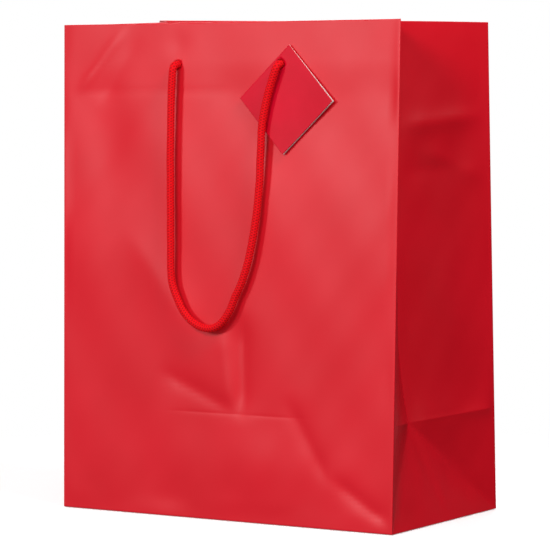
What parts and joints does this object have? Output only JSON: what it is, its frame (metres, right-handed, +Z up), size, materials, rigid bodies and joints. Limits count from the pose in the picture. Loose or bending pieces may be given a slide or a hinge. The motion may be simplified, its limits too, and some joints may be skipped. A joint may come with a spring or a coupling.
{
  "type": "paper gift bag",
  "caption": "Upright red paper gift bag with side gussets, a flat base, two cord handles and a folded card tag hanging on the front handle.",
  "frame": {"origin": "centre of the underside of the bag's base, on the surface it stands on", "axes": "+Z up to the mouth, +X to the right seen from the front, the front with the tag faces -Y"},
  "size_m": [0.26, 0.147, 0.33],
  "materials": {
    "laminated_paper": "satin red laminated paper",
    "inner_paper": "uncoated white paper",
    "reinforcing_card": "matt white card",
    "base_card": "matt white card",
    "handle_cord": "matt braided cord",
    "tag_card": "satin red card"
  },
  "bodies": {
    "bag": {"front_panel": "laminated_paper", "back_panel": "laminated_paper", "right_gusset_front": "laminated_paper", "right_gusset_back": "laminated_paper", "left_gusset_front": "laminated_paper", "left_gusset_back": "laminated_paper", "right_front_corner_fold": "laminated_paper", "right_back_corner_fold": "laminated_paper", "left_front_corner_fold": "laminated_paper", "left_back_corner_fold": "laminated_paper", "right_gusset_foot": "laminated_paper", "left_gusset_foot": "laminated_paper", "front_hem": "laminated_paper", "back_hem": "laminated_paper", "right_front_hem": "laminated_paper", "right_back_hem": "laminated_paper", "left_front_hem": "laminated_paper", "left_back_hem": "laminated_paper", "front_card": "reinforcing_card", "back_card": "reinforcing_card", "seam_flap": "inner_paper", "front_base_flap": "laminated_paper", "back_base_flap": "laminated_paper", "right_base_flap": "laminated_paper", "left_base_flap": "laminated_paper", "base_board": "base_card", "front_handle_ends": "handle_cord", "back_handle_ends": "handle_cord"},
    "front_handle": {"front_handle": "handle_cord"},
    "back_handle": {"back_handle": "handle_cord"},
    "tag": {"tag_back_leaf": "tag_card", "tag_front_leaf": "tag_card"}
  },
  "joints": [
    {"name": "front_handle_swing", "type": "hinge", "parent": "bag", "child": "front_handle", "pos_m": [0, -0.0647, 0.302], "axis": [-1, 0, 0], "range_deg": [0, 180]},
    {"name": "back_handle_swing", "type": "hinge", "parent": "bag", "child": "back_handle", "pos_m": [0, 0.0647, 0.302], "axis": [1, 0, 0], "range_deg": [0, 180]},
    {"name": "tag_swing", "type": "hinge", "parent": "bag", "child": "tag", "pos_m": [0.041, -0.05902, 0.302], "axis": [0, 0.9993, -0.0363], "range_deg": [-60, 60]}
  ]
}
